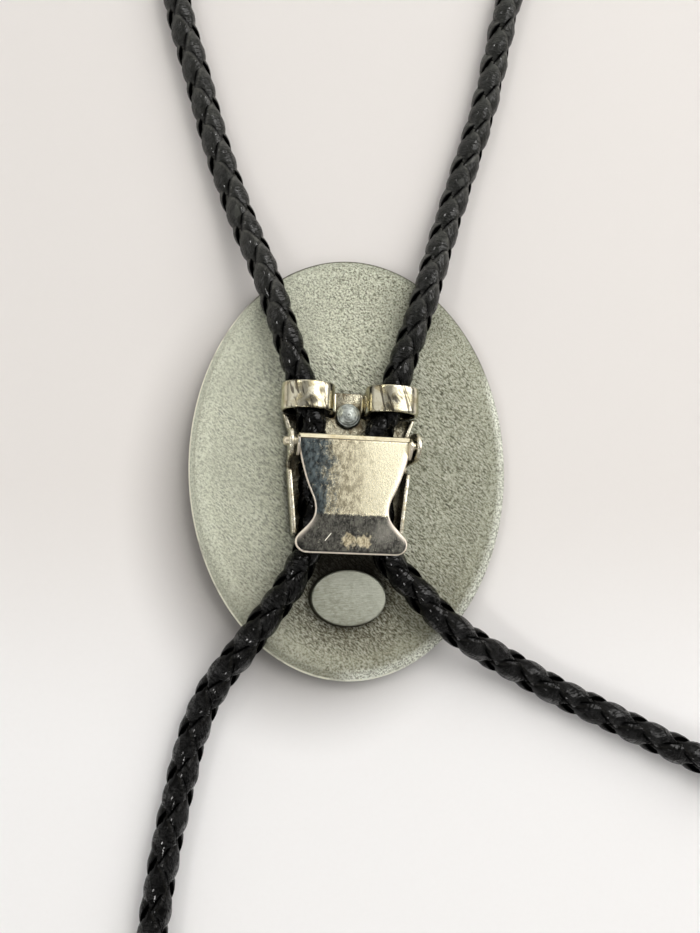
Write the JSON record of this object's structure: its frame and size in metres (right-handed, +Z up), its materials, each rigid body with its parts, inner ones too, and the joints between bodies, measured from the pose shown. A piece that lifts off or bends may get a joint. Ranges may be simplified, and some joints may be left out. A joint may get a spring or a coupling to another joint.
{
  "type": "bolo tie",
  "caption": "Bolo tie lying face down: an oval cast medallion with a hinged cord slide on its back, on a round braided cord with a neck loop and tipped free ends.",
  "frame": {"origin": "on the resting surface, under the middle of the medallion, slide, lever and rivet", "axes": "+Z up out of the medallion's back, +Y along the medallion's long axis towards the neck loop, +X to the right as the back is seen"},
  "size_m": [0.1029, 0.2532, 0.0108],
  "materials": {
    "pewter": "cast grey-green pewter, pebbly back with dark pits, smoother rim",
    "nickel": "worn nickel plate with warm tarnish",
    "nickel_lever": "worn nickel plate, blue-black tarnish on one side, bright edges",
    "rivet_steel": "turned head with fine rings",
    "braid": "black braided leatherette, dull sheen, deep grooves",
    "tip_metal": "plain nickel plate"
  },
  "bodies": {
    "base": {"medallion": "pewter", "clip_base": "nickel", "rivet": "rivet_steel", "neck_loop": "braid", "left_end": "braid", "right_end": "braid", "left_tip": "tip_metal", "right_tip": "tip_metal"},
    "lever": {"lever": "nickel_lever"}
  },
  "joints": [
    {"name": "lever_hinge", "type": "hinge", "parent": "base", "child": "lever", "pos_m": [-0.00012, 0.00187, 0.0095], "axis": [-0.9997, 0.0227, 0], "range_deg": [0, 95]}
  ]
}
